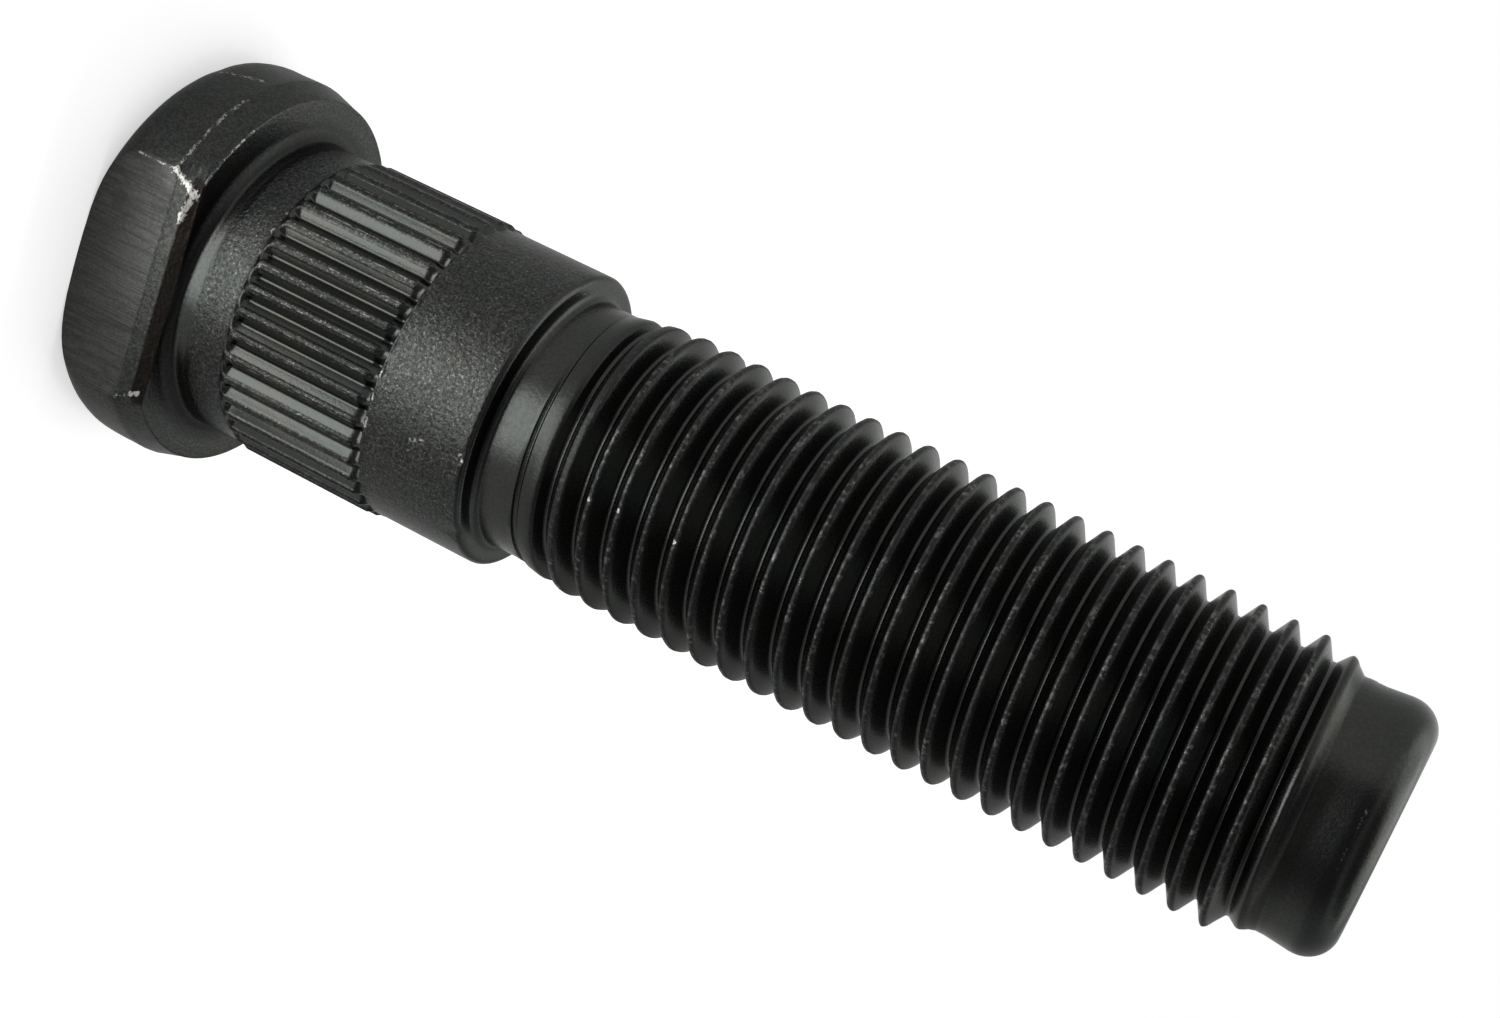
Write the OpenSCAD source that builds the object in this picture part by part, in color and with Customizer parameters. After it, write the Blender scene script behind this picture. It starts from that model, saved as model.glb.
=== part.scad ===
// Wheel stud: a headed, serrated and threaded pin that is pressed into a wheel hub.
// The stud stands on its head with +Z along the shank. The origin is the centre of the head's back face.

/* [Head] */
// Diameter of the head
head_d = 20.3; // [18.4:0.1:26]
// Height of the head, from its back face to its bearing face
head_h = 5.4; // [4.4:0.1:9]
// Radius of the round rim at the head's back
back_round = 2; // [0.5:0.1:2.6]
// Height of the tapered band beside the bearing face
band_h = 1.45; // [0.4:0.05:1.7]
// How far the tapered band narrows the bearing face, on each side
band_in = 0.45; // [0.1:0.05:0.6]
// How far the flat on the head's side lies outside the plain shank
flat_gap = 0.7; // [0.65:0.05:1.3]
// Height of the smooth strip along the top of that flat
strip_h = 0.7; // [0.2:0.05:1.2]
// How far the strip leans in, from its foot to its top
strip_in = 0.05; // [0.01:0.01:0.1]
// Height of the rough bevel between the strip and the bearing face
bevel_h = 0.6; // [0.3:0.05:1]
// How far that bevel reaches into the bearing face
bevel_in = 0.3; // [0.1:0.05:0.35]

/* [Plain shank] */
// Length from the bearing face to the end of the plain shank
shank_l = 16.85; // [14:0.05:22]
// Radius of the fillet under the head
head_fillet = 0.65; // [0.2:0.05:0.9]
// Radius of the round edge at the end of the plain shank
shank_round = 0.3; // [0.1:0.05:0.6]

/* [Serrations] */
// Diameter over the crests of the serrations
knurl_d = 15.6; // [15.1:0.05:17]
// How far the crests of the serrations stand out of the plain shank
knurl_rise = 0.2; // [0.1:0.02:0.34]
// Length from the bearing face to the serrations
knurl_from = 3.1; // [1.2:0.05:4]
// Length of the serrations
knurl_l = 8; // [5:0.1:9]
// Number of serrations
knurl_teeth = 40; // [30:1:48]
// Width of the flat crest of each serration
knurl_land = 0.3; // [0.1:0.02:0.4]
// Direction of the middle of one serration, in degrees from +X
knurl_turn = 3; // [0:0.5:9]
// Angle between the two sides of a groove
groove_angle = 90; // [70:1:110]
// Length of the slope at each end of the raised serrations
knurl_slope = 0.4; // [0.1:0.05:0.6]
// How far the grooves run on past the raised serrations, towards the thread
groove_over = 0.2; // [0:0.05:0.8]

/* [Thread] */
// Diameter over the thread's crests
thread_d = 13.8; // [11:0.1:14.4]
// Advance of the right-hand thread in one turn
thread_pitch = 1.5; // [1:0.05:2]
// Angle between the two sides of a thread groove
thread_angle = 60; // [50:1:62]
// How far the plain neck lies below the thread's crests
neck_step = 0.5; // [0.3:0.05:0.9]
// Length from the end of the plain shank to the first trace of thread
thread_from = 1.85; // [0.8:0.05:3]
// Length of the thread, from its first trace to its last
thread_l = 37.9; // [20:0.1:60]
// Turns in which the thread grows to its full height at the head end
turns_in = 2.5; // [0.5:0.1:4]
// Turns in which the thread dies out at the tip end
turns_out = 1.4; // [0.5:0.1:4]
// Direction in which the thread begins, in degrees from +X
thread_turn = 45; // [0:1:359]
// Radius of the fillet between the neck and the end of the plain shank
neck_fillet = 0.4; // [0.1:0.05:0.6]

/* [Tip] */
// How far the plain pilot lies below the thread's crests
pilot_step = 0.8; // [0.5:0.05:1.5]
// Length of the pilot past the thread
pilot_l = 3.25; // [3:0.05:8]
// How much slimmer the pilot is where it leaves the thread, on each side
waist_in = 0.12; // [0.02:0.02:0.2]
// Length over which it widens again
waist_l = 0.8; // [0.4:0.05:1]
// Radius of the round edge at the tip
tip_round = 1.5; // [0.3:0.05:1.7]

/* [Hidden] */
$fn = 96;
steel = "#2b2d2c";

head_r = head_d / 2;
bearing_r = head_r - band_in;
knurl_r = knurl_d / 2;
shank_r = knurl_r - knurl_rise;
flat_y = -shank_r - flat_gap;
bevel_z = head_h - bevel_h;
bevel_y = flat_y + strip_in;
strip_z = bevel_z - strip_h;
crest_r = thread_d / 2;
neck_r = crest_r - neck_step;
pilot_r = crest_r - pilot_step;
waist_r = pilot_r - waist_in;

knurl_z = head_h + knurl_from;
knurl_top_z = knurl_z + knurl_l;
shank_top_z = head_h + shank_l;
thread_z = shank_top_z + thread_from;
thread_top_z = thread_z + thread_l;
tip_z = thread_top_z + pilot_l;

// One serration takes this share of the crest circle, and the groove takes what its land leaves.
tooth_step = 360 / knurl_teeth;
groove_half_w = knurl_r * sin(tooth_step / 2) - knurl_land / 2;
groove_depth = groove_half_w / tan(groove_angle / 2);
groove_bottom_r = knurl_r * cos(tooth_step / 2) - groove_depth;
// The shapes that cut the grooves and the flat reach this far past the steel.
cutter_over = 1;

// A rolled thread's depth and the flat on its crests follow its pitch.
depth_per_pitch = 0.62;
crest_per_pitch = 0.2;
thread_depth = depth_per_pitch * thread_pitch;
root_r = crest_r - thread_depth;

// The thread is a grid wound along the helix: so many columns in a turn, and rows at the edges of the
// crest and the root.
columns = 32;
crest_w = crest_per_pitch * thread_pitch;
flank_w = thread_depth * tan(thread_angle / 2);
root_w = thread_pitch - crest_w - 2 * flank_w;
row_at = [0, crest_w, crest_w + flank_w, crest_w + flank_w + root_w];
row_r = [crest_r, crest_r, root_r, root_r];
rows = len(row_at);
// A wound grid starts and ends with a step of one pitch. The steps lie where the thread has no height,
// and are pressed together to this share of their height.
press = 0.12;
wound_z = thread_z - thread_pitch;
wound_turns = ceil((thread_top_z - wound_z) / thread_pitch + 1 / columns);
// The round neck ends this far below the grid's first point. The grid can run up to two pitches past the
// thread, and the round pilot starts this far above that.
step_gap = 0.02;
neck_top_z = thread_z - thread_pitch * press - step_gap;
pilot_z = thread_top_z + 2 * thread_pitch * press + step_gap;
// The wound part's plain ends stay this far inside the round neck and pilot, and reach this far into them.
inset = 0.02;
reach = 0.15;

// A quarter disc in the first quadrant
module quarter(r) {
    intersection() {
        circle(r);
        square(r);
    }
}

// Half of the section through the head and the fillet under it, beside the axis
module head_section() {
    polygon([
        [0, 0],
        [head_r - back_round, 0],
        [head_r - back_round, back_round],
        [head_r, back_round],
        [head_r, head_h - band_h],
        [bearing_r, head_h],
        [0, head_h]
    ]);
    translate([head_r - back_round, back_round])
        mirror([0, 1])
            quarter(back_round);
    difference() {
        translate([0, head_h])
            square([shank_r + head_fillet, head_fillet]);
        translate([shank_r + head_fillet, head_h + head_fillet])
            circle(head_fillet);
    }
}

// Half of the section through the shank, from the head to the neck
module shank_section() {
    difference() {
        union() {
            polygon([
                [0, head_h],
                [shank_r, head_h],
                [shank_r, knurl_z],
                [knurl_r, knurl_z + knurl_slope],
                [knurl_r, knurl_top_z - knurl_slope],
                [shank_r, knurl_top_z],
                [shank_r, shank_top_z - shank_round],
                [shank_r - shank_round, shank_top_z - shank_round],
                [shank_r - shank_round, shank_top_z],
                [neck_r + neck_fillet, shank_top_z],
                [neck_r + neck_fillet, shank_top_z + neck_fillet],
                [neck_r, shank_top_z + neck_fillet],
                [neck_r, neck_top_z],
                [0, neck_top_z]
            ]);
            translate([shank_r - shank_round, shank_top_z - shank_round])
                quarter(shank_round);
        }
        translate([neck_r + neck_fillet, shank_top_z + neck_fillet])
            circle(neck_fillet);
    }
}

// Half of the section through the pilot
module tip_section() {
    polygon([
        [0, pilot_z],
        [waist_r, pilot_z],
        [pilot_r, pilot_z + waist_l],
        [pilot_r, tip_z - tip_round],
        [pilot_r - tip_round, tip_z - tip_round],
        [pilot_r - tip_round, tip_z],
        [0, tip_z]
    ]);
    translate([pilot_r - tip_round, tip_z - tip_round])
        quarter(tip_round);
}

// What the flat takes off the head, drawn in Y and Z: the flat, the strip above it and the bevel. The bevel
// is carried on past the bearing face, because it also trims the foot of the fillet.
module flat_section() {
    past = head_fillet / 2;
    polygon([
        [-head_d, -cutter_over],
        [flat_y, -cutter_over],
        [flat_y, strip_z],
        [bevel_y, bevel_z],
        [bevel_y + bevel_in * (bevel_h + past) / bevel_h, head_h + past],
        [-head_d, head_h + past]
    ]);
}

// The head with the flat on its -Y side
module head() {
    difference() {
        rotate_extrude()
            head_section();
        translate([-head_d, 0, 0])
            rotate([90, 0, 90])
                linear_extrude(2 * head_d)
                    flat_section();
    }
}

// One groove between two serrations, on the +X side
module groove() {
    outer_r = knurl_r + cutter_over;
    outer_half_w = (outer_r - groove_bottom_r) * tan(groove_angle / 2);
    translate([0, 0, knurl_z + knurl_slope / 2])
        linear_extrude(knurl_l - knurl_slope / 2 + groove_over)
            polygon([
                [groove_bottom_r, 0],
                [outer_r, -outer_half_w],
                [outer_r, outer_half_w]
            ]);
}

// The shank with its serrations
module shank() {
    difference() {
        rotate_extrude()
            shank_section();
        for (tooth = [0 : knurl_teeth - 1])
            rotate([0, 0, knurl_turn + (tooth + 0.5) * tooth_step])
                groove();
    }
}

// How much of its height the thread has at a height on the stud, from 0 to 1
function grown(z) = sin(90 * min(1, max(0, (z - thread_z) / (turns_in * thread_pitch))));
function left(z) = min(1, max(0, (thread_top_z - z) / (turns_out * thread_pitch)));

// Radius of the wound grid: the thread's own, drawn to the neck at one end and to the pilot at the other
function wound_r(r, z) =
    r + (neck_r - inset - r) * (1 - grown(z)) + (waist_r - inset - r) * (1 - left(z));

// Height of the wound grid, pressed together where the thread has no height
function pressed(z) =
    z < thread_z ? thread_z - (thread_z - z) * press :
    z > thread_top_z ? thread_top_z + (z - thread_top_z) * press : z;

function wound_point(row, column) =
    let (
        part = row % rows,
        z = wound_z + thread_pitch * (floor(row / rows) + column / columns) + row_at[part],
        r = wound_r(row_r[part], z),
        angle = 360 * column / columns
    )
    [r * cos(angle), r * sin(angle), pressed(z)];

function cap_point(r, z, column) =
    [r * cos(360 * column / columns), r * sin(360 * column / columns), z];

// The threaded length as one closed shell, with a flat cap at each end
module thread() {
    last_row = rows * wound_turns;
    low_first = (last_row + 1) * columns;
    high_first = low_first + columns;
    function at(row, column) =
        column < columns ? row * columns + column : (row + rows) * columns;
    function low(column) = low_first + column % columns;
    function high(column) = high_first + column % columns;
    points = concat(
        [for (row = [0 : last_row], column = [0 : columns - 1]) wound_point(row, column)],
        [for (column = [0 : columns - 1]) cap_point(neck_r - inset, neck_top_z - reach, column)],
        [for (column = [0 : columns - 1]) cap_point(waist_r - inset, pilot_z + reach, column)]
    );
    wall = [
        for (row = [0 : last_row - 1], column = [0 : columns - 1])
            if (column < columns - 1 || row + rows < last_row)
                for (half = [0, 1])
                    half == 0
                        ? [at(row, column), at(row + 1, column), at(row + 1, column + 1)]
                        : [at(row, column), at(row + 1, column + 1), at(row, column + 1)]
    ];
    foot = [
        for (column = [0 : columns - 2])
            [low(column), at(0, column), at(0, column + 1), low(column + 1)]
    ];
    foot_step = concat(
        [low(columns - 1), at(0, columns - 1)],
        [for (row = [rows : -1 : 0]) at(row, 0)],
        [low(0)]
    );
    brow = [
        for (column = [0 : columns - 2])
            [at(last_row, column), high(column), high(column + 1), at(last_row, column + 1)]
    ];
    brow_step = concat(
        [at(last_row, 0)],
        [for (row = [last_row - rows : last_row]) at(row, columns - 1)],
        [high(columns - 1), high(0)]
    );
    caps = [
        [for (column = [0 : columns - 1]) low(column)],
        [for (column = [columns - 1 : -1 : 0]) high(column)]
    ];
    rotate([0, 0, thread_turn])
        polyhedron(points, concat(wall, foot, [foot_step], brow, [brow_step], caps));
}

// The plain pilot that leads the nut on
module pilot() {
    rotate_extrude()
        tip_section();
}

// The stud, one piece of steel
module stud() {
    color(steel)
        union() {
            head();
            shank();
            thread();
            pilot();
        }
}

stud();
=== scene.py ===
# %% [markdown]
# # A wheel stud
#
# A wheel stud is a steel pin that is pressed into a wheel hub. Its head stops it from behind, its serrations
# keep it from turning, and the wheel nut screws onto its long thread. This one is finished in black oxide.
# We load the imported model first, because every size and place in this lesson comes from it.

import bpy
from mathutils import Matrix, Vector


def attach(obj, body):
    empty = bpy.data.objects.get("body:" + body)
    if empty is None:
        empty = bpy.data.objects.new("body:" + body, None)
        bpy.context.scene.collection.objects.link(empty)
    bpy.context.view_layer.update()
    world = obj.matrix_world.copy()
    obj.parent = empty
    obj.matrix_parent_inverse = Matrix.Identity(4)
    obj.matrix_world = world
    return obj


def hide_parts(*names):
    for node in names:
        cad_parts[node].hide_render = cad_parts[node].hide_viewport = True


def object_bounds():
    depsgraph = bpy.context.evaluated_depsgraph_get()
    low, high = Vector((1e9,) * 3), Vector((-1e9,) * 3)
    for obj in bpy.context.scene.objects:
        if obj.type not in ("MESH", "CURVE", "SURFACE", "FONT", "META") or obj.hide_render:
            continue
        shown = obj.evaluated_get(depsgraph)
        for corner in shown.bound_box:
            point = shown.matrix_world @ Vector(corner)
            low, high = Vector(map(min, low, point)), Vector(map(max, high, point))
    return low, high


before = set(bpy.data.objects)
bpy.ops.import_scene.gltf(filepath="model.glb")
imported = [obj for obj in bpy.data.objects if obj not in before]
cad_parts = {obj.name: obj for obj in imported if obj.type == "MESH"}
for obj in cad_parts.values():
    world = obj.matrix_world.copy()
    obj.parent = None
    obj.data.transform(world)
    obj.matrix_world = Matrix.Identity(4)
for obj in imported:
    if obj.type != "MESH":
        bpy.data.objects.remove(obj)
cad_low, cad_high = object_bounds()
print("the packed stud reaches from", tuple(cad_low), "to", tuple(cad_high))

# %% [markdown]
# The model is in metres, but a maker thinks of a stud in millimetres. So we write every size of the stud in
# millimetres and turn the finished points into metres in one place.

# %% Units and the stud's own sizes
import math

import bmesh
import bpy
import numpy as np
from mathutils import Matrix, Vector, noise

MM = 0.001
head_r = cad_high.x / MM
tip_z = cad_high.z / MM
flat_y = -cad_low.y / MM
head_h = 5.4
back_round = 2.0
band_h = 1.45
band_in = 0.45
strip_h = 0.7
strip_in = 0.05
bevel_h = 0.6
bevel_in = 0.3
shank_r = 7.6
head_fillet = 0.65
shank_top_z = 22.25
shank_round = 0.3
neck_r = 6.4
neck_fillet = 0.4
print(f"head {2 * head_r:.2f} mm across, flat {flat_y:.2f} mm from the axis, tip at {tip_z:.2f} mm")

# %% [markdown]
# The stud is one piece of steel, so we make one closed skin and not a heap of parts. The skin is a stack of
# rings. Two rings with as many points are joined by quads. Two rings with different counts, such as the fine
# ring of the serrations and a plainer one, are zipped together with triangles. Each point also carries a
# number that says how worn it is, which the material reads later.

# %% A skin made of rings
class Skin:
    """Points in millimetres, how worn each one is, and the faces between them."""

    def __init__(self):
        self.points = []
        self.worn = []
        self.faces = []

    def ring(self, places, worn=0.0):
        first = len(self.points)
        self.points.extend(places)
        self.worn.extend([worn] * len(places))
        return list(range(first, len(self.points)))

    def band(self, low, high):
        for i in range(len(low)):
            j = (i + 1) % len(low)
            self.faces.append((low[i], low[j], high[j], high[i]))

    def turned(self, ring):
        """The ring's points with their angles, in order from angle 0."""
        return sorted((math.atan2(self.points[i][1], self.points[i][0]) % math.tau, i) for i in ring)

    def zip(self, low, high):
        lower = self.turned(low)
        upper = self.turned(high)
        a = 0
        b = 0
        while a < len(lower) or b < len(upper):
            next_a = lower[(a + 1) % len(lower)][0] + math.tau * ((a + 1) // len(lower))
            next_b = upper[(b + 1) % len(upper)][0] + math.tau * ((b + 1) // len(upper))
            here_a = lower[a % len(lower)][1]
            here_b = upper[b % len(upper)][1]
            if b == len(upper) or (a < len(lower) and next_a <= next_b):
                self.faces.append((here_a, lower[(a + 1) % len(lower)][1], here_b))
                a += 1
            else:
                self.faces.append((here_a, upper[(b + 1) % len(upper)][1], here_b))
                b += 1

    def join(self, low, high):
        if len(low) == len(high):
            self.band(low, high)
        else:
            self.zip(low, high)

    def fan(self, ring, centre):
        middle = self.ring([centre])[0]
        for i in range(len(ring)):
            self.faces.append((ring[i], ring[(i + 1) % len(ring)], middle))


def arc(centre_r, centre_z, radius, start, end, steps):
    """Radius and height of the points of a round edge. Angle 0 points away from the axis."""
    angles = [math.radians(start + (end - start) * i / steps) for i in range(steps + 1)]
    return [(centre_r + radius * math.cos(a), centre_z + radius * math.sin(a)) for a in angles]


def soft_min(a, b, blend):
    """The smaller of two numbers, with the corner between them rounded over the blend."""
    near = max(blend - abs(a - b), 0) / blend
    return min(a, b) - near * near * blend / 4


def round_ring(radius, height, count):
    angles = [math.tau * i / count for i in range(count)]
    return [(radius * math.cos(a), radius * math.sin(a), height) for a in angles]


skin = Skin()

# %% [markdown]
# The head is turned round and has one flat, so its outline seen from above is a circle cut by a line. A
# boolean cut would leave long thin faces. Here each ring is drawn with the cut already in it, and its columns
# follow the two corners of the flat, so that both edges stay crisp and slightly rounded.

# %% The head's rings
flat_columns = 44
corner_columns = 8
head_columns = 240
corner_half = 2.2
least_corner = 12.0
flat_direction = -90.0
beside_flat = 0.3
edge_blend = 0.12
crease_half = 0.05
crease_depth = 0.01
bevel_z = head_h - bevel_h
strip_z = bevel_z - strip_h
flat_marks_z = (0.0, strip_z - crease_half, strip_z, strip_z + crease_half, bevel_z, head_h + head_fillet)
bevel_top_y = flat_y - strip_in - bevel_in * (bevel_h + head_fillet) / bevel_h
flat_marks_y = (flat_y, flat_y, flat_y - crease_depth, flat_y, flat_y - strip_in, bevel_top_y)


def flat_at(height):
    """Distance of the flat from the axis: plain, then a fine crease, the strip and the bevel."""
    return float(np.interp(height, flat_marks_z, flat_marks_y))


def head_angles(corner):
    """Column angles from the middle of the flat, closest together at its two corners."""
    inner = corner - corner_half
    outer = corner + corner_half
    round_columns = head_columns - flat_columns - 2 * corner_columns
    return (
        list(np.linspace(-inner, inner, flat_columns, endpoint=False))
        + list(np.linspace(inner, outer, corner_columns, endpoint=False))
        + list(np.linspace(outer, 360 - outer, round_columns, endpoint=False))
        + list(np.linspace(360 - outer, 360 - inner, corner_columns, endpoint=False))
    )


def corner_angle(radius, flat):
    if radius <= flat:
        return least_corner
    return max(least_corner, math.degrees(math.acos(flat / radius)))


def head_reach(radius, flat, angle):
    """Distance from the axis to the outline of a circle cut by the flat."""
    toward_flat = math.cos(math.radians(angle))
    if toward_flat < beside_flat:
        return radius
    return soft_min(radius, flat / toward_flat, edge_blend)


def head_point(reach, angle, height):
    azimuth = math.radians(flat_direction + angle)
    return (reach * math.cos(azimuth), reach * math.sin(azimuth), height)


def head_ring(radius, height):
    flat = flat_at(height)
    angles = head_angles(corner_angle(radius, flat))
    return skin.ring([head_point(head_reach(radius, flat, angle), angle, height) for angle in angles])


band_slope = math.degrees(math.atan2(band_in, band_h))
band_z = head_h - band_h
top_round = 0.15
top_centre_z = head_h - top_round
band_normal = (math.cos(math.radians(band_slope)), math.sin(math.radians(band_slope)))
band_reach = band_normal[0] * head_r + band_normal[1] * band_z
top_centre_r = (band_reach - top_round - band_normal[1] * top_centre_z) / band_normal[0]


def band_r(height):
    return head_r - band_in * max(0.0, height - band_z) / band_h


rim = arc(head_r - back_round, back_round, back_round, -90, 0, 13)
side = [(head_r, z) for z in (2.6, 3.2, 3.7, band_z - 0.06)]
band_heights = (3.99, 4.02, 4.05, 4.08, 4.10, 4.12, 4.15, 4.35, 4.6, 4.74, 4.79, 4.82, 4.88, 5.05, 5.18)
band = [(band_r(z), z) for z in band_heights]
top = arc(top_centre_r, top_centre_z, top_round, band_slope, 90, 5)

back_centre_r = 4.0
previous = head_ring(back_centre_r, 0.0)
skin.fan(previous[::-1], (0, 0, 0))
for radius, height in rim + side + band + top:
    ring = head_ring(radius, height)
    skin.join(previous, ring)
    previous = ring

# %% [markdown]
# Above the head the bearing face runs into a fillet. The bevel of the flat trims the foot of that fillet, so
# the bearing face has no width there. Each column therefore starts where the head's edge is and spreads its
# points over whatever is left of the face and the fillet. The face gets fewer points where it is narrow, so
# that neighbouring columns never jump.

# %% The bearing face and the fillet
face_rings = 3
fillet_rings = 10
full_width = 0.6
fillet_foot = shank_r + head_fillet


def fillet_point(turn):
    """Radius and height in the fillet. Turn 1 is its foot on the bearing face and turn 0 is its top."""
    angle = math.radians(90 * turn)
    radius = fillet_foot - head_fillet * math.cos(angle)
    return radius, head_h + head_fillet * (1 - math.sin(angle))


edge_angles = head_angles(corner_angle(top_centre_r, flat_at(head_h)))
for step in range(1, face_rings + fillet_rings + 1):
    places = []
    way = step / (face_rings + fillet_rings)
    for angle in edge_angles:
        start = head_reach(top_centre_r, flat_at(head_h), angle)
        face_width = max(0.0, start - fillet_foot)
        face_way = face_rings / (face_rings + fillet_rings) * min(1.0, face_width / full_width)
        cut = max(0.0, fillet_foot - start)
        first_turn = math.degrees(math.acos(cut / head_fillet)) / 90
        if way < face_way:
            reach = start - face_width * way / face_way
            height = head_h
        else:
            reach, height = fillet_point(first_turn * (1 - way) / (1 - face_way))
        places.append(head_point(reach, angle, height))
    ring = skin.ring(places)
    skin.band(previous, ring)
    previous = ring
print(len(skin.points), "points in the head")

# %% [markdown]
# The serrations are straight V grooves between narrow lands. Fourteen columns to a tooth put points on
# both edges of the land, of each flank and of the groove's foot, so that the flanks are shaded as true
# planes. The grooves begin with a short slope at the head's side, and at the other side they end in a curved
# wall with a small raised lip, where the die left the metal.

# %% The serrated shank
knurl_r = 7.8
knurl_teeth = 40
knurl_turn = 3.0
knurl_land = 0.3
knurl_low = 8.5
knurl_high = 16.5
knurl_slope = 0.4
wall_start = 16.3
wall_length = 0.4
tooth_step = 360 / knurl_teeth
groove_depth = knurl_r * math.sin(math.radians(tooth_step / 2)) - knurl_land / 2
groove_r = knurl_r * math.cos(math.radians(tooth_step / 2)) - groove_depth
tooth_columns = (-1.1, -0.5, 0.0, 0.5, 1.1, 1.7, 1.95, 3.85, 4.15, 4.5, 4.85, 5.15, 7.05, 7.3)
groove_floor = 0.05
land_crown = 0.24
groove_start = 0.12
groove_rise = 0.4
burr_z = 16.15
burr_reach = 0.16
burr_height = 0.12
lip_z = 16.76
lip_reach = 0.08
lip_height = 0.03
first_flank = 1.5


def tooth_radius(offset):
    """Radius of the full serration at an angle from the middle of a land."""
    from_root = abs(offset - tooth_step / 2)
    across = max(knurl_r * math.sin(math.radians(from_root)) - groove_floor, 0.0)
    return soft_min(knurl_r, groove_r + groove_floor + across, land_crown)


def crest_share(height):
    rising = (height - knurl_low) / knurl_slope
    falling = (knurl_high - height) / knurl_slope
    return min(1.0, max(0.0, min(rising, falling)))


def groove_share(height):
    rising = min(1.0, max(0.0, (height - knurl_low - groove_start) / groove_rise))
    falling = min(1.0, max(0.0, (height - wall_start) / wall_length))
    return rising * rising * (3 - 2 * rising) * math.sqrt(1 - falling * falling)


def serrated_ring(height):
    places = []
    worn = []
    raised = shank_r + (knurl_r - shank_r) * crest_share(height)
    for tooth in range(knurl_teeth):
        burr = max(0.0, noise.noise(Vector((tooth * 3.7, 2.1, 0.4)))) * burr_height
        burr *= math.exp(-((height - burr_z) / burr_reach) ** 2)
        lip = lip_height + lip_height * noise.noise(Vector((tooth * 1.9, 5.3, 0.8)))
        lip *= math.exp(-((height - lip_z) / lip_reach) ** 2)
        for offset in tooth_columns:
            cut = min(tooth_radius(offset) - knurl_r, 0.0) * groove_share(height)
            in_groove = offset > first_flank
            radius = raised + cut + (lip if in_groove else burr)
            angle = math.radians(knurl_turn + tooth * tooth_step + offset)
            places.append((radius * math.cos(angle), radius * math.sin(angle), height))
            worn.append(crest_share(height) if offset == 0.0 else 0.0)
    ring = skin.ring(places)
    for i, value in zip(ring, worn):
        skin.worn[i] = value
    return ring


plain_heights = (6.6, 7.4, 8.2)
for height in plain_heights:
    ring = skin.ring([head_point(shank_r, angle, height) for angle in edge_angles])
    skin.band(previous, ring)
    previous = ring
knurl_heights = [8.4, 8.5, 8.56, 8.62, 8.70, 8.78, 8.86, 8.94, 9.04, 9.3]
knurl_heights += [11.3, 13.3, 15.2, 15.8, 16.0, 16.12]
knurl_heights += [16.25, 16.36, 16.5, 16.58, 16.64, 16.68, 16.7, 16.73, 16.76, 16.80, 16.85, 16.92]
for height in knurl_heights:
    ring = serrated_ring(height)
    skin.join(previous, ring)
    previous = ring
print(knurl_teeth, "serrations,", f"{knurl_r - groove_r:.2f} mm deep")

# %% [markdown]
# The plain shoulder ends in a small round edge. Behind it the shank steps down, with a fillet, to the neck
# from which the thread was rolled.

# %% The shoulder and the neck
thread_turn = 45.0
thread_columns = 144


def neck_ring(radius, height):
    """A round ring whose points stand in line with the thread's."""
    angles = [math.radians(thread_turn) + math.tau * i / thread_columns for i in range(thread_columns)]
    return skin.ring([(radius * math.cos(a), radius * math.sin(a), height) for a in angles])


shoulder = [(shank_r, z) for z in (17.6, 19.0, 20.4, 21.3, shank_top_z - shank_round - 0.08)]
corner = arc(shank_r - shank_round, shank_top_z - shank_round, shank_round, 0, 90, 7)
for radius, height in shoulder + corner:
    ring = skin.ring(round_ring(radius, height, head_columns))
    skin.join(previous, ring)
    previous = ring
fillet = arc(neck_r + neck_fillet, shank_top_z + neck_fillet, neck_fillet, -90, -180, 8)
for radius, height in [(7.05, shank_top_z)] + fillet + [(neck_r, 23.2)]:
    ring = neck_ring(radius, height)
    skin.join(previous, ring)
    previous = ring

# %% [markdown]
# A thread is a helix, so its grid is wound: each row climbs by one pitch in a turn, and its last column
# meets the first column one pitch higher up. That way the crest and the root each follow one row of points,
# and the edge stays clean all the way round. A rolled thread starts as a shallow groove between wide crests
# and grows deeper, so the rows move apart or together with the depth. Above and below the thread the rows
# are pressed flat.

# %% The rolled thread
pitch = 1.5
crest_r = 6.9
thread_depth = 0.93
root_r = crest_r - thread_depth
crest_half = 0.12
flank_slope = 1 / math.tan(math.radians(30))
root_half = pitch / 2 - crest_half - thread_depth / flank_slope
thread_low = 24.1
thread_high = 62.0
turns_in = 2.5
turns_out = 1.4
pilot_r = 6.1
waist_r = 5.98
press = 0.12
row_offsets = (0.0, 0.07, 0.17, 0.24, 0.32, 0.40, 0.72, 0.78, 0.82, 0.92, 0.96, 1.02, 1.34, 1.42)
root_offset = crest_half + pitch / 2
crest_blend = 0.14
root_blend = 0.07
least_depth = 0.12
crest_waves = 1.7
crest_wave_depth = 0.02
crest_wave_level = 0.4


def grown(height):
    share = min(1.0, max(0.0, (height - thread_low) / (turns_in * pitch)))
    return math.sin(math.pi / 2 * share)


def left(height):
    return min(1.0, max(0.0, (thread_high - height) / (turns_out * pitch)))


def pressed(height):
    if height < thread_low:
        return thread_low - (thread_low - height) * press
    if height > thread_high:
        return thread_high + (height - thread_high) * press
    return height


def moved(from_root, share):
    """Distance from the root of a row of the full profile, where the thread has only a share of its depth."""
    full_edge = pitch / 2 - crest_half
    edge = root_half + (full_edge - root_half) * share
    if from_root <= root_half:
        return from_root
    if from_root <= full_edge:
        return root_half + (from_root - root_half) * share
    return edge + (from_root - full_edge) / crest_half * (pitch / 2 - edge)


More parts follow.
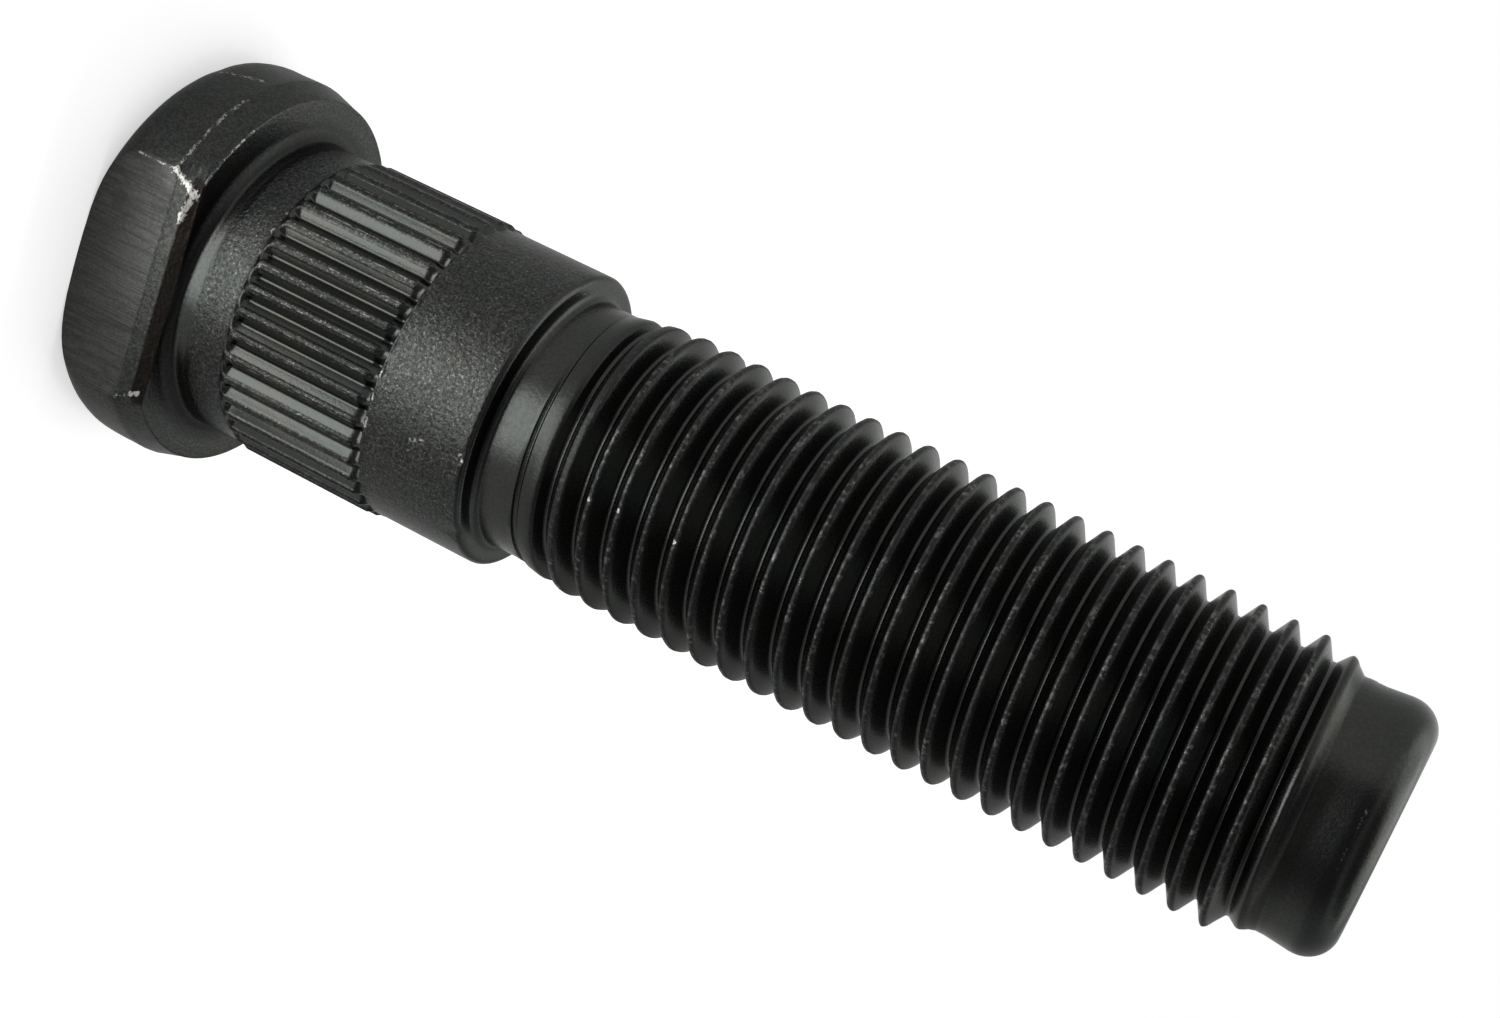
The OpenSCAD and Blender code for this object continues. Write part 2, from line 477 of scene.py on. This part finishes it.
def thread_radius(from_root, height):
    """Radius at a distance from the root: the flank between the root's level and the crest's level."""
    short_in = 1 - grown(height)
    top = crest_r - (crest_r - neck_r) * short_in
    foot = root_r + (neck_r - root_r) * short_in
    share = max(least_depth, grown(height))
    rise = (from_root - root_half) * flank_slope
    rise = -soft_min(0.0, -rise, root_blend * share)
    radius = soft_min(top, foot + rise, crest_blend * share)
    return waist_r + (radius - waist_r) * left(height)


rows = len(row_offsets)
wound_low = thread_low - pitch
wound_turns = math.ceil((thread_high - wound_low) / pitch + 1 / thread_columns)
last_row = rows * wound_turns
grid = []
for row in range(last_row + 1):
    offset = row_offsets[row % rows]
    full_from_root = min(abs(offset - root_offset), pitch - abs(offset - root_offset))
    above_root = 1 if offset > root_offset or offset <= crest_half else -1
    on_crest = offset <= 2 * crest_half
    places = []
    worn = []
    for column in range(thread_columns):
        height = wound_low + pitch * (row // rows + column / thread_columns) + offset
        share = max(least_depth, grown(height))
        from_root = moved(full_from_root, share)
        height += above_root * (from_root - full_from_root)
        radius = thread_radius(from_root, height)
        angle = math.radians(thread_turn) + math.tau * column / thread_columns
        if on_crest:
            spot = Vector((radius * math.cos(angle), radius * math.sin(angle), height)) * crest_waves
            wave = noise.noise(spot) - crest_wave_level
            radius += crest_wave_depth * wave * grown(height) * left(height)
        places.append((radius * math.cos(angle), radius * math.sin(angle), pressed(height)))
        worn.append(grown(height) * left(height) if on_crest else 0.0)
    ring = skin.ring(places)
    for i, value in zip(ring, worn):
        skin.worn[i] = value
    grid.append(ring)

for row in range(last_row):
    for column in range(thread_columns - 1):
        low, high = grid[row], grid[row + 1]
        skin.faces.append((low[column], low[column + 1], high[column + 1], high[column]))
for row in range(last_row - rows):
    skin.faces.append((grid[row][-1], grid[row + rows][0], grid[row + rows + 1][0], grid[row + 1][-1]))
print(wound_turns, "turns wound,", last_row * thread_columns, "points in the thread")

# %% [markdown]
# Each end of the wound grid is an open ring with one step in it, where the helix starts. Quads join it to a
# round ring in line with it, and one flat face fills the step.

# %% Close the ends of the thread
low_ring = neck_ring(neck_r, thread_low - pitch * press - 0.05)
skin.band(previous, low_ring)
pilot_low = thread_high + 2 * pitch * press + 0.05
high_ring = neck_ring(waist_r, pilot_low)
low_step = [grid[row][0] for row in range(rows, -1, -1)]
skin.faces.append(tuple([low_ring[-1], grid[0][-1]] + low_step + [low_ring[0]]))
high_step = [grid[row][-1] for row in range(last_row - rows, last_row + 1)]
skin.faces.append(tuple([grid[last_row][0]] + high_step + [high_ring[-1], high_ring[0]]))
for i in range(thread_columns - 1):
    skin.faces.append((low_ring[i], low_ring[i + 1], grid[0][i + 1], grid[0][i]))
    skin.faces.append((grid[last_row][i], grid[last_row][i + 1], high_ring[i + 1], high_ring[i]))

# %% [markdown]
# The pilot is the plain nose that leads the nut on. It has a slight waist where it leaves the thread, widens
# to its full size and ends in a large round edge.

# %% The pilot
tip_round = 1.5
waist_l = 1.2


def pilot_radius(height):
    return waist_r + (pilot_r - waist_r) * min(1.0, (height - pilot_low) / waist_l)


pilot_side = [(pilot_radius(z), z) for z in (62.7, 63.0, 63.3, 63.5, 63.62, 63.7)]
tip_edge = arc(pilot_r - tip_round, tip_z - tip_round, tip_round, 0, 90, 20)
previous = high_ring
for radius, height in pilot_side + tip_edge + [(2.3, tip_z)]:
    ring = neck_ring(radius, height)
    skin.join(previous, ring)
    previous = ring
skin.fan(previous, (0, 0, tip_z))
print(len(skin.points), "points and", len(skin.faces), "faces in the whole skin")

# %% [markdown]
# A stud travels loose in a box with many others, and they knock into each other's corners. Each knock is a
# small soft dent, made by moving the points near its middle inward. The bare steel that shows in some of
# the dents is drawn later, by the material.

# %% Knocks and dents
knocks = [
    # azimuth in degrees, height, distance from the axis, size, depth
    (235.3, 4.55, 10.1, 1.25, 0.14),
    (303.8, 4.5, 10.1, 1.0, 0.10),
    (206.0, 4.0, 10.15, 0.8, 0.04),
    (222.0, 4.0, 10.15, 0.7, 0.04),
    (193.0, 0.8, 9.6, 1.1, 0.05),
    (275.7, 21.85, 7.6, 0.5, 0.07),
    (311.0, 22.1, 7.5, 0.7, 0.10),
    (189.0, 22.1, 7.5, 0.9, 0.05),
    (270.0, 27.9, 6.9, 0.45, 0.06),
    (268.8, 29.5, 6.9, 0.40, 0.05),
    (269.9, 32.5, 6.9, 0.45, 0.06),
    (246.0, 61.0, 6.7, 0.50, 0.05),
]
points = np.array(skin.points)
for azimuth, height, radius, size, depth in knocks:
    outward = np.array([math.cos(math.radians(azimuth)), math.sin(math.radians(azimuth)), 0.0])
    middle = radius * outward + np.array([0.0, 0.0, height])
    distance = np.linalg.norm(points - middle, axis=1) / size
    share = np.clip(1 - distance ** 2, 0, 1) ** 2
    points -= depth * share[:, None] * outward
print(len(knocks), "knocks pressed in")

# %% [markdown]
# Forging leaves the head a little uneven. A slow noise moves its rim by a few hundredths of a millimetre,
# always inward, so that the stud keeps its measured size.

# %% Forged unevenness
rim_inner_r = shank_r + 1
rim_top_z = head_h - 0.05
slow_waves = 0.45
fine_waves = 1.3
highest_wave = 1.5
wave_depth = 0.03
for i, place in enumerate(points):
    from_axis = math.hypot(place[0], place[1])
    if place[2] < rim_top_z and from_axis > rim_inner_r:
        wave = noise.noise(Vector(place) * slow_waves) + 0.5 * noise.noise(Vector(place) * fine_waves)
        pull = wave_depth * (wave - highest_wave)
        points[i, :2] *= 1 + pull / from_axis * min(1.0, place[2])

# %% [markdown]
# Now the skin becomes a mesh. The faces are smooth shaded, and an edge stays sharp only where two faces
# meet at a steep angle. The wear of each point goes along as an attribute.

# %% Make the stud's mesh
mesh = bpy.data.meshes.new("wheel_stud")
mesh.from_pydata([tuple(place) for place in points * MM], [], skin.faces)
attribute = mesh.attributes.new("worn", "FLOAT", "POINT")
attribute.data.foreach_set("value", np.array(skin.worn, np.float32))
work = bmesh.new()
work.from_mesh(mesh)
bmesh.ops.recalc_face_normals(work, faces=work.faces)
open_edges = [e for e in work.edges if not e.is_manifold]
print("open or doubled edges:", len(open_edges), "volume:", round(work.calc_volume() * 1e9, 1), "mm3")
work.to_mesh(mesh)
work.free()
sharp_angle = 65
mesh.shade_smooth()
mesh.set_sharp_from_angle(angle=math.radians(sharp_angle))
stud = bpy.data.objects.new("wheel_stud", mesh)
bpy.context.scene.collection.objects.link(stud)
triangles = sum(len(face.vertices) - 2 for face in mesh.polygons)
print(triangles, "triangles")

# %% [markdown]
# Shader maths reads best as maths. A small class wraps a socket, so that an expression such as 1 - mask adds
# the Math nodes by itself. Any other node comes from one method that sets its options first and then fills
# or links its inputs.

# %% Sockets that can be calculated with
class Wire:
    """A node's output that works in sums with numbers and other wires."""

    def __init__(self, paint, socket):
        self.paint = paint
        self.socket = socket

    def math(self, operation, *values):
        return self.paint.node("ShaderNodeMath", {"operation": operation}, dict(enumerate(values)))

    def __add__(self, other):
        return self.math("ADD", self, other)

    def __radd__(self, other):
        return self.math("ADD", other, self)

    def __sub__(self, other):
        return self.math("SUBTRACT", self, other)

    def __rsub__(self, other):
        return self.math("SUBTRACT", other, self)

    def __mul__(self, other):
        return self.math("MULTIPLY", self, other)

    def __rmul__(self, other):
        return self.math("MULTIPLY", other, self)


class Paint:
    """A node tree and the few ways in which this lesson adds nodes to it."""

    def __init__(self, tree):
        self.tree = tree
        self.tree.nodes.clear()

    def node(self, kind, settings, values, output=0):
        node = self.tree.nodes.new(kind)
        for name, value in settings.items():
            setattr(node, name, value)
        for name, value in values.items():
            if isinstance(value, Wire):
                self.tree.links.new(value.socket, node.inputs[name])
            else:
                node.inputs[name].default_value = value
        return Wire(self, node.outputs[output]) if node.outputs else node

    def mix(self, factor, first, second):
        return self.node("ShaderNodeMix", {"data_type": "RGBA"}, {0: factor, 6: first, 7: second}, 2)

    def ease(self, value, low, high):
        """0 below low and 1 above high, with a smooth way between."""
        settings = {"interpolation_type": "SMOOTHSTEP"}
        return self.node("ShaderNodeMapRange", settings, {0: value, 1: low, 2: high, 3: 0.0, 4: 1.0})

    def between(self, value, low, high, soft):
        return self.ease(value, low, low + soft) * (1 - self.ease(value, high - soft, high))

    def streak(self, place, start, end, width, wander):
        """1 along the straight line between two points, and 0 further away than the width."""
        along = Vector(end) - Vector(start)
        to_place = self.vector("SUBTRACT", place, start)
        share = self.vector("DOT_PRODUCT", to_place, tuple(along / along.length_squared), "Value")
        share = self.node("ShaderNodeClamp", {}, {"Value": share, "Min": 0.0, "Max": 1.0})
        nearest = self.node(
            "ShaderNodeVectorMath", {"operation": "SCALE"}, {0: tuple(along), "Scale": share}
        )
        distance = self.vector("DISTANCE", to_place, nearest, "Value")
        return 1 - self.ease(distance + wander * width, 0.6 * width, width)

    def noise(self, vector, scale, detail=4.0, roughness=0.55):
        values = {"Vector": vector, "Scale": scale, "Detail": detail, "Roughness": roughness}
        return self.node("ShaderNodeTexNoise", {}, values, "Fac")

    def vector(self, operation, first, second, output=0):
        return self.node("ShaderNodeVectorMath", {"operation": operation}, {0: first, 1: second}, output)

    def attribute(self, name):
        return self.node("ShaderNodeAttribute", {"attribute_name": name}, {}, "Fac")


# %% [markdown]
# Black oxide is a thin dark skin on steel. It reflects like a very dark metal, more sharply on the rolled
# neck and pilot than on the forged head and the ground shoulder. So one material covers the whole stud, and
# masks worked out from the place on the stud change its grain, tint and polish.

# %% Where on the stud we are
oxide = bpy.data.materials.new("black_oxide_steel")
oxide.use_nodes = True
paint = Paint(oxide.node_tree)
metres = paint.node("ShaderNodeTexCoord", {}, {}, "Object")
place = paint.vector("MULTIPLY", metres, (1 / MM, 1 / MM, 1 / MM))
split = paint.node("ShaderNodeSeparateXYZ", {}, {0: place}).socket.node
y = Wire(paint, split.outputs[1])
z = Wire(paint, split.outputs[2])
on_head = 1 - paint.ease(z, head_h + 0.1, head_h + 0.4)
near_flat = 1 - paint.ease(y, -flat_y + 0.06, -flat_y + 0.14)
on_flat = paint.between(z, 0.0, strip_z, 0.1) * near_flat
on_bevel = paint.between(z, bevel_z - 0.02, head_h + 0.25, 0.1) * (1 - paint.ease(y, -7.9, -7.7))
on_shoulder = paint.between(z, head_h + 1, shank_top_z - 0.1, 0.4)
off_axis = paint.vector("MULTIPLY", place, (1.0, 1.0, 0.0))
radial = paint.vector("LENGTH", off_axis, (0.0, 0.0, 0.0), "Value")
on_serrations = paint.between(z, knurl_low, knurl_high + 0.3, 0.15)
in_groove = on_serrations * (1 - paint.ease(radial, 7.62, 7.72))
on_land = on_serrations * paint.ease(radial, 7.68, 7.76)
on_rough = 0.7 * on_head * (1 - on_flat) + on_shoulder * (1 - in_groove)
# Where painted shade darkens the fillet under the head and the bearing face close to it.
fillet_shade = paint.between(z, head_h - 0.1, head_h + 0.5, 0.12) * (1 - paint.ease(radial, 8.3, 8.9))
worn = paint.attribute("worn")
after_neck = paint.ease(z, shank_top_z, thread_low)

# %% [markdown]
# The bath leaves slow clouds in the oxide, and the oxide has a fine grain of its own. The flat was sheared
# along the stud, so its marks are a noise that is stretched along the axis. The crests of the thread and the
# lands of the serrations are rubbed only in specks.

# %% Grain, clouds and specks
clouds = paint.noise(place, 0.35, 3.0)
grain = paint.noise(place, 7.0, 6.0, 0.65)
coarse = paint.noise(place, 5.2, 3.0, 0.6)
specks = paint.noise(place, 7.5, 3.0, 0.7)
stretch = paint.vector("MULTIPLY", place, (9.0, 9.0, 0.35))
shear_marks = paint.noise(stretch, 1.0, 5.0, 0.7)
mottle = paint.ease(paint.noise(place, 6.5, 4.0, 0.75), 0.40, 0.62)
rubbed = paint.ease(paint.noise(place, 3.2, 4.0, 0.7) + worn * 0.3 - after_neck * 0.09, 0.70, 0.86)
rubbed_patches = paint.ease(paint.noise(place, 0.7, 2.0), 0.40, 0.60)
rubbed = rubbed * paint.ease(worn, 0.3, 0.8) * (1 - after_neck * (0.75 - 0.5 * rubbed_patches))
fleck = paint.ease(specks, 0.57, 0.68) * on_shoulder * (1 - in_groove)

# %% [markdown]
# Bare steel shows where something hard touched the stud. Each scrape is a straight line between two points
# on the skin. The material measures how far it is from that line, and a fine noise breaks up its border. The
# last turned line, along the tip's round edge, is no scrape: it is a painted highlight drawn the same way.

# %% Scrapes down to bare steel, and a painted highlight
scrapes_and_highlight = [
    # start and end in millimetres, half of the width, how white
    ((-5.84, -8.3, 3.95), (-5.35, -8.25, 4.80), 0.28, 0.66),
    ((-5.35, -8.25, 4.80), (-5.02, -8.06, 5.12), 0.26, 0.66),
    ((-5.05, -8.10, 5.10), (-3.60, -8.25, 4.81), 0.17, 0.6),
    ((-5.82, -8.28, 3.95), (-5.82, -8.28, 1.2), 0.07, 0.40),
    ((5.84, -8.3, 3.95), (5.35, -8.25, 4.80), 0.14, 0.7),
    ((5.35, -8.25, 4.80), (5.15, -8.06, 5.12), 0.16, 0.8),
]
turned_scrapes_and_highlight = [
    # azimuth, height and radius of the start, then of the end, half of the width, how white
    ((204, 3.95, 10.15), (235, 3.95, 10.15), 0.12, 0.33),
    ((212, 5.35, 9.65), (237, 5.35, 9.65), 0.07, 0.30),
    ((198, 1.2, 9.95), (192.7, 3.5, 10.15), 0.16, 0.33),
    ((224, 8.47, 7.65), (225, 8.47, 7.65), 0.13, 0.30),
    ((233, 8.46, 7.65), (234, 8.46, 7.65), 0.13, 0.30),
    ((242, 8.48, 7.65), (243, 8.48, 7.65), 0.13, 0.28),
    ((246, 8.87, 7.8), (247, 8.87, 7.8), 0.12, 0.35),
    ((260.5, 16.74, 7.62), (263.5, 16.74, 7.62), 0.09, 0.35),
    ((269.5, 16.74, 7.62), (272.5, 16.74, 7.62), 0.09, 0.40),
    ((278.5, 16.74, 7.62), (281.5, 16.74, 7.62), 0.11, 0.60),
    ((278.2, 19.2, 7.6), (276.8, 19.8, 7.6), 0.12, 0.35),
    ((275.0, 21.8, 7.6), (276.8, 21.95, 7.6), 0.10, 0.55),
    ((186, 22.25, 7.0), (192, 22.25, 7.0), 0.06, 0.25),
    ((270.0, 27.85, 6.9), (270.0, 28.05, 6.9), 0.14, 0.8),
    ((268.8, 29.4, 6.9), (268.8, 29.6, 6.9), 0.12, 0.7),
    ((269.9, 32.4, 6.9), (269.9, 32.6, 6.9), 0.14, 0.8),
    # This last line is no scrape: it paints a highlight along the tip's round edge.
    ((244, 63.95, 6.0), (269, 63.95, 6.0), 0.10, 0.4),
]


def on_skin(azimuth, height, radius):
    angle = math.radians(azimuth)
    return (radius * math.cos(angle), radius * math.sin(angle), height)


arc_step = 8.0
for (start_az, start_z, start_r), (end_az, end_z, end_r), width, whiteness in turned_scrapes_and_highlight:
    pieces = max(1, math.ceil(abs(end_az - start_az) / arc_step))
    for i in range(pieces):
        ends = []
        for share in (i / pieces, (i + 1) / pieces):
            azimuth = start_az + (end_az - start_az) * share
            height = start_z + (end_z - start_z) * share
            ends.append(on_skin(azimuth, height, start_r + (end_r - start_r) * share))
        scrapes_and_highlight.append((ends[0], ends[1], width, whiteness))
wander = (grain - 0.5) * 3.0
broken = paint.noise(place, 6.0, 3.0, 0.7)
bared_and_highlight = 0.0
for start, end, width, whiteness in scrapes_and_highlight:
    line = paint.streak(place, start, end, width, wander)
    kept = paint.ease(broken, 0.62 - 0.4 * whiteness, 0.70 - 0.4 * whiteness)
    bared_and_highlight = line.math("MAXIMUM", bared_and_highlight, line * kept * (0.12 + 0.88 * whiteness))
print(len(scrapes_and_highlight), "scrapes drawn")

# %% [markdown]
# The colours are all close to black. Rubbed specks are grey and bare steel is nearly white; the same white
# paints a highlight along the tip's round edge. The bevel of the flat is as forged, with a trace of brown
# scale, and is painted darker still as painted shade. Painted shade also darkens the fillet under the head,
# the lands of the serrations and the thread's crests, and the thread beyond the neck is a little darker.

# %% Colours
dark = (0.052, 0.056, 0.053, 1.0)
cloud_dark = (0.060, 0.059, 0.054, 1.0)
flat_dark = (0.074, 0.074, 0.071, 1.0)
scale_brown_and_shade = (0.017, 0.013, 0.011, 1.0)
grey_steel = (0.17, 0.17, 0.165, 1.0)
# Dark pits of the grain. The same colour also paints shade into the fillet, onto the lands and onto the
# crests.
pit_and_shade_dark = (0.018, 0.019, 0.018, 1.0)
white_steel_and_highlight = (0.62, 0.61, 0.58, 1.0)
color = paint.mix(paint.ease(clouds, 0.4, 0.7), dark, cloud_dark)
color = paint.mix(on_flat, color, flat_dark)
color = paint.mix((1 - mottle) * (0.30 + 0.55 * on_rough - 0.2 * in_groove), color, pit_and_shade_dark)
# The lands of the serrations and the thread's crests are painted darker: painted shade that dims the
# highlight they catch.
color = paint.mix(on_land * 0.55 + worn * after_neck * 0.68, color, pit_and_shade_dark)
color = paint.mix((1 - paint.ease(shear_marks, 0.40, 0.60)) * on_flat * 0.4, color, pit_and_shade_dark)
# The bevel: a trace of brown scale, painted dark as painted shade as well.
color = paint.mix(on_bevel * 0.8, color, scale_brown_and_shade)
# Painted shade in the fillet under the head, and the thread beyond the neck a little darker.
color = paint.mix(fillet_shade * 0.7 + after_neck * 0.2, color, pit_and_shade_dark)
color = paint.mix(rubbed, color, grey_steel)
color = paint.mix(fleck * 0.65, color, grey_steel)
# White where steel is bared, and a painted highlight along the tip's round edge.
color = paint.mix(bared_and_highlight, color, white_steel_and_highlight)

# %% [markdown]
# The head and the shoulder are the roughest places, the neck and the pilot the smoothest. The bump only
# carries the grain. Everything that has a shape of its own is in the mesh.

# %% The finished material
rolled_roughness = 0.27
forged_more = 0.12
ground_more = 0.06
scale_more = 0.15
worn_more = 0.2
streak_rougher = 0.1
roughness = rolled_roughness + on_head * forged_more + on_shoulder * (1 - in_groove) * ground_more
roughness = roughness + on_bevel * scale_more + worn * worn_more + bared_and_highlight * streak_rougher
roughness = roughness + (grain - 0.5) * 0.12 + (clouds - 0.5) * 0.1
height = grain * (0.45 + on_rough * 0.6) + coarse * (0.4 + on_rough * 2.4 + worn * 1.5)
height = height + shear_marks * on_flat * 1.6 + coarse * on_bevel * 2.0
bump_strength = 0.5
bump_depth = 0.035 * MM
bump = paint.node("ShaderNodeBump", {}, {"Strength": bump_strength, "Distance": bump_depth, "Height": height})
steel = paint.node(
    "ShaderNodeBsdfPrincipled",
    {},
    {
        "Base Color": color,
        "Metallic": 1.0,
        "Roughness": roughness,
        "Specular Tint": (0.70, 0.71, 0.70, 1.0),
        "Normal": bump,
    },
)
paint.node("ShaderNodeOutputMaterial", {}, {"Surface": steel})
mesh.materials.append(oxide)
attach(stud, "root")
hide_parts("stud")

# %% [markdown]
# The photographer looked down at the stud from the side of its flat, with the camera rolled so that the stud
# lies across the picture. The camera's place and its three directions were worked out from the rings of the
# head and the tip.

# %% The camera
picture_width = 1500
focal_px = 2400
camera_place = Vector((-35.18, -101.46, 64.79)) * MM
camera_right = Vector((-0.33985, 0.38325, 0.85884))
camera_up = Vector((-0.88822, 0.16935, -0.42706))
camera_back = Vector((-0.30911, -0.90799, 0.28286))
lens = bpy.data.cameras.new("camera")
lens.sensor_width = 36.0
lens.lens = lens.sensor_width * focal_px / picture_width
lens.clip_start = 0.005
lens.clip_end = 20.0
camera = bpy.data.objects.new("camera", lens)
turn = Matrix((camera_right, camera_up, camera_back)).transposed()
camera.matrix_world = Matrix.Translation(camera_place) @ turn.to_4x4()
bpy.context.scene.collection.objects.link(camera)
bpy.context.scene.camera = camera

# %% [markdown]
# The stud stands on a white floor, a wide sheet that ends just behind the photographer. Seen by the camera or
# in the metal, the floor glows a little, which makes it white without putting more light on the stud. Its own
# colour still takes the stud's shadow.

# %% The floor
floor_mesh = bpy.data.meshes.new("floor")
floor_side = 4.0
floor_front = -0.13
corners = [(-floor_side, floor_front, 0), (floor_side, floor_front, 0)]
corners += [(floor_side, floor_side, 0), (-floor_side, floor_side, 0)]
floor_mesh.from_pydata(corners, [], [(0, 1, 2, 3)])
floor = bpy.data.objects.new("floor", floor_mesh)
bpy.context.scene.collection.objects.link(floor)
pale = bpy.data.materials.new("pale_floor")
pale.use_nodes = True
floor_paint = Paint(pale.node_tree)
floor_color = (0.80, 0.80, 0.80, 1.0)
camera_glow = 0.56
mirror_glow = 0.27
matte = floor_paint.node("ShaderNodeBsdfDiffuse", {}, {"Color": floor_color})
rays = floor_paint.node("ShaderNodeLightPath", {}, {}).socket.node
camera_ray = Wire(floor_paint, rays.outputs["Is Camera Ray"])
glossy_ray = Wire(floor_paint, rays.outputs["Is Glossy Ray"])
clear_ray = Wire(floor_paint, rays.outputs["Is Transmission Ray"])
glow_level = (camera_ray + clear_ray) * camera_glow + glossy_ray * mirror_glow
glow = floor_paint.node("ShaderNodeEmission", {}, {"Color": (1, 1, 1, 1), "Strength": glow_level})
both = floor_paint.node("ShaderNodeAddShader", {}, {0: matte, 1: glow})
floor_paint.node("ShaderNodeOutputMaterial", {}, {"Surface": both})
floor_mesh.materials.append(pale)

# %% [markdown]
# Black metal shows only what it reflects. The camera sees a white studio all over. The metal sees a bright
# wall behind the stud and to its left, a grey one to its right, a bright border of the ceiling all round,
# a bright patch overhead and a dark room behind the photographer.

# %% The studio around the stud
world = bpy.data.worlds.new("studio")
bpy.context.scene.world = world
world.use_nodes = True
sky = Paint(world.node_tree)
direction = sky.node("ShaderNodeTexCoord", {}, {}, "Generated")
bright_side = (-0.777, 0.629, 0.0)
right_side = (0.866, 0.5, 0.0)
wall_edge = (0.15, 0.40)
right_edge = (0.2, 0.8)
room_level = 0.12
wall_level = 0.78
right_level = 0.3
soft_level = 0.55
border_level = 0.5
overhead = (-0.2, 0.45, 0.87)
overhead_level = 1.2
overhead_edge = (0.80, 0.90)
border_low = 0.52
border_high = 0.70
height_seen = Wire(sky, sky.node("ShaderNodeSeparateXYZ", {}, {0: direction}).socket.node.outputs[2])
toward_bright = sky.vector("DOT_PRODUCT", direction, bright_side, "Value")
toward_right = sky.vector("DOT_PRODUCT", direction, right_side, "Value")
metal_sees = room_level + (wall_level - room_level) * sky.ease(toward_bright, *wall_edge)
metal_sees = metal_sees + right_level * sky.ease(toward_right, *right_edge)
metal_sees = metal_sees + border_level * sky.between(height_seen, border_low, border_high, 0.06)
toward_overhead = sky.vector("DOT_PRODUCT", direction, overhead, "Value")
metal_sees = metal_sees + overhead_level * sky.ease(toward_overhead, *overhead_edge)
rays = sky.node("ShaderNodeLightPath", {}, {}).socket.node
camera_ray = Wire(sky, rays.outputs["Is Camera Ray"])
glossy_ray = Wire(sky, rays.outputs["Is Glossy Ray"])
strength = camera_ray + (1 - camera_ray) * (glossy_ray * metal_sees + (1 - glossy_ray) * soft_level)
background = sky.node("ShaderNodeBackground", {}, {"Color": (1, 1, 1, 1), "Strength": strength})
sky.node("ShaderNodeOutputWorld", {}, {"Surface": background})

# %% [markdown]
# A bright card lies on the floor in front of the stud. It widens away from the stud like a fan, because each
# height of the shank mirrors another distance on the floor, and the highlight has to stay as wide all along.
# A notch in its right edge keeps the light off the serrations nearest to us.

# %% The card in front
card_mesh = bpy.data.meshes.new("front_card")
card_z = 0.3
card_near_y = -14.0
card_far_y = -130.0
card_right = ((3.0, card_near_y), (3.0, -19.0), (0.5, -31.0), (15.0, -53.0), (41.0, card_far_y))
card_left = ((-76.0, card_far_y), (-14.0, card_near_y))
card_corners = [(x, y, card_z) for x, y in card_right + card_left]
card_face = tuple(reversed(range(len(card_corners))))
card_mesh.from_pydata([Vector(corner) * MM for corner in card_corners], [], [card_face])
card = bpy.data.objects.new("front_card", card_mesh)
bpy.context.scene.collection.objects.link(card)
card_material = bpy.data.materials.new("bright_card")
card_material.use_nodes = True
card_paint = Paint(card_material.node_tree)
card_level = 4.6
card_light = card_paint.node("ShaderNodeEmission", {}, {"Color": (1, 1, 1, 1), "Strength": card_level})
card_paint.node("ShaderNodeOutputMaterial", {}, {"Surface": card_light})
card_mesh.materials.append(card_material)
card.visible_camera = False
card.visible_shadow = False

# %% [markdown]
# One large soft box hangs above and behind the stud. It lights the floor evenly and gives the stud its soft
# shadow.

# %% The lamp
lamp = bpy.data.lights.new("top_box", "AREA")
lamp.shape = "SQUARE"
lamp_side = 240 * MM
lamp_radiance = 1.5
lamp_place = Vector((60, 120, 320)) * MM
stud_middle = Vector((0, 0, 30)) * MM
lamp.size = lamp_side
lamp.energy = lamp_radiance * math.pi * lamp_side ** 2
top_box = bpy.data.objects.new("top_box", lamp)
top_box.location = lamp_place
top_box.rotation_euler = (stud_middle - lamp_place).to_track_quat("-Z", "Y").to_euler()
top_box.visible_camera = False
bpy.context.scene.collection.objects.link(top_box)
print(f"top box {lamp.energy:.4f} W")

# %% [markdown]
# The plain view transform shows a colour as it is written.

# %% The view transform
view = bpy.context.scene.view_settings
view.view_transform = "Standard"
